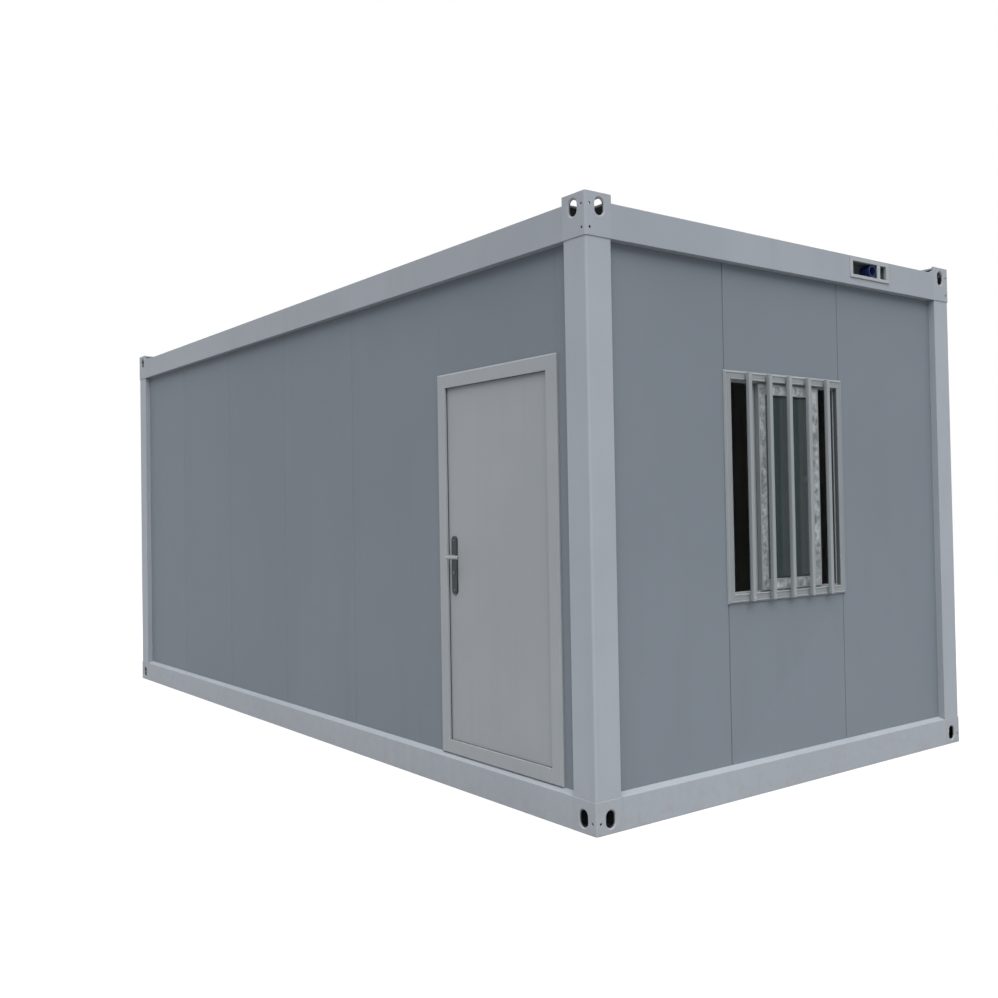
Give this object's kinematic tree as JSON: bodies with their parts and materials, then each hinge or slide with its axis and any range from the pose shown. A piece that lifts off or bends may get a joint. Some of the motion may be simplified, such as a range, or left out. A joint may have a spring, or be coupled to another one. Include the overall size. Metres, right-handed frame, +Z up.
{
  "type": "container cabin",
  "caption": "Flat-pack container cabin: steel base and roof frames on corner posts, sandwich-panel walls, an inward-opening door and a sliding window.",
  "frame": {"origin": "middle of the footprint, on the ground", "axes": "+X along the cabin, towards the end with the window; -Y is the door side; +Z up"},
  "size_m": [6.061, 3.024, 2.896],
  "materials": {
    "casting_paint": "satin",
    "frame_paint": "satin",
    "panel_paint": "satin",
    "leaf_paint": "satin",
    "door_frame_paint": "satin",
    "galvanised_steel": "spangled",
    "floor_board": "matte",
    "ceiling_white": "matte",
    "hinge_steel": "satin",
    "handle_black": "satin",
    "lever_satin": "satin",
    "window_frame_white": "satin",
    "sash_white": "semi-gloss",
    "window_glass": "clear",
    "inlet_bezel": "satin",
    "socket_blue": "satin"
  },
  "bodies": {
    "cabin": {"base_corner_front_left": "casting_paint", "base_corner_front_right": "casting_paint", "base_corner_back_left": "casting_paint", "base_corner_back_right": "casting_paint", "roof_corner_front_left": "casting_paint", "roof_corner_front_right": "casting_paint", "roof_corner_back_left": "casting_paint", "roof_corner_back_right": "casting_paint", "corner_post_front_left": "frame_paint", "corner_post_front_right": "frame_paint", "corner_post_back_left": "frame_paint", "corner_post_back_right": "frame_paint", "base_beam_front": "frame_paint", "base_beam_back": "frame_paint", "base_beam_left": "frame_paint", "base_beam_right": "frame_paint", "roof_beam_front": "frame_paint", "roof_beam_back": "frame_paint", "roof_beam_left": "frame_paint", "roof_beam_right": "frame_paint", "front_wall": "panel_paint", "door_side_panel": "panel_paint", "door_head_panel": "panel_paint", "back_wall": "panel_paint", "left_wall": "panel_paint", "right_wall_front": "panel_paint", "right_wall_back": "panel_paint", "window_sill_panel": "panel_paint", "window_head_panel": "panel_paint", "floor_joists": "galvanised_steel", "floor_board": "floor_board", "roof_purlins": "galvanised_steel", "roof_sheet": "galvanised_steel", "ceiling": "ceiling_white", "door_frame": "door_frame_paint", "hinge_frame_halves": "hinge_steel", "window_frame": "window_frame_white", "window_sashes": "sash_white", "window_glass": "window_glass", "power_inlet_box": "inlet_bezel", "power_inlet_socket": "socket_blue"},
    "door": {"door_leaf": "leaf_paint", "hinge_leaf_halves": "hinge_steel", "door_handle_plates": "handle_black"},
    "lever": {"door_lever": "lever_satin"}
  },
  "joints": [
    {"name": "door_swing", "type": "hinge", "parent": "cabin", "child": "door", "pos_m": [2.712, -1.384, 1.1795], "axis": [0, 0, -1], "range_deg": [0, 95]},
    {"name": "lever_turn", "type": "hinge", "parent": "door", "child": "lever", "pos_m": [1.9015, -1.453, 1.216], "axis": [0, 1, 0], "range_deg": [0, 45], "stiffness_Nm_per_rad": 1.2, "springref_deg": -34.38}
  ]
}
